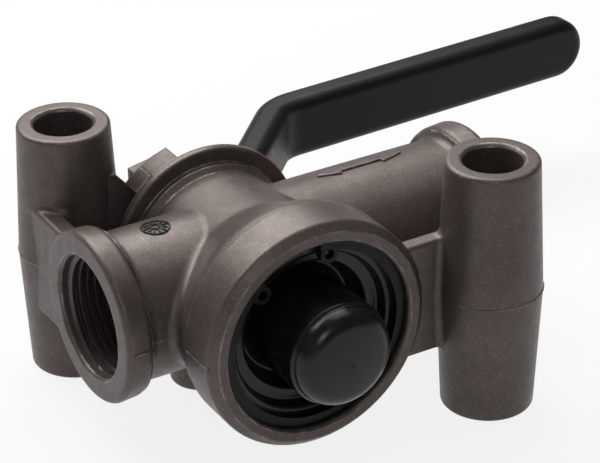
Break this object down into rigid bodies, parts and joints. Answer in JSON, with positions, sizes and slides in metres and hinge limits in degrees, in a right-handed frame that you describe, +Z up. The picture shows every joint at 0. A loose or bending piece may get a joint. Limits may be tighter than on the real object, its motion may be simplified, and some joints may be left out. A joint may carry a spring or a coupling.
{
  "type": "shut-off valve",
  "caption": "Cast in-line air shut-off valve with threaded ports, mounting tubes, a sprung taper plug and a cranked hand lever.",
  "frame": {"origin": "on the axis of the left mounting tube, at the casting's parting plane", "axes": "+X along the port axis towards the right port, +Y from the capped front of the plug bore towards the lever, +Z up along the mounting tubes"},
  "size_m": [0.1385, 0.0877, 0.0482],
  "materials": {
    "cast_metal": "satin",
    "brass": "satin",
    "bronze": "satin",
    "slide_plastic": "matte",
    "seal_rubber": "matte",
    "zinc_steel": "satin",
    "spring_steel": "satin",
    "black_steel": "satin",
    "lever_steel": "satin",
    "cap_plastic": "gloss",
    "grip_vinyl": "satin"
  },
  "bodies": {
    "housing": {"valve_body": "cast_metal", "plug_liner": "slide_plastic", "stem_bush": "bronze", "stem_o_ring_inner": "seal_rubber", "stem_o_ring_outer": "seal_rubber", "stem_wiper": "seal_rubber", "thrust_ring": "slide_plastic", "spring_plate": "zinc_steel", "plug_spring": "spring_steel", "end_cap": "cap_plastic", "cap_o_ring": "seal_rubber", "snap_ring": "black_steel"},
    "lever_and_plug": {"plug": "brass", "lever": "lever_steel", "lever_grip": "grip_vinyl", "lever_washer": "zinc_steel", "lever_lock_washer": "zinc_steel", "lever_nut": "zinc_steel"}
  },
  "joints": [
    {"name": "lever_turn", "type": "hinge", "parent": "housing", "child": "lever_and_plug", "pos_m": [0.0215, -0.0027, 0], "axis": [0, -1, 0], "range_deg": [0, 90]}
  ]
}
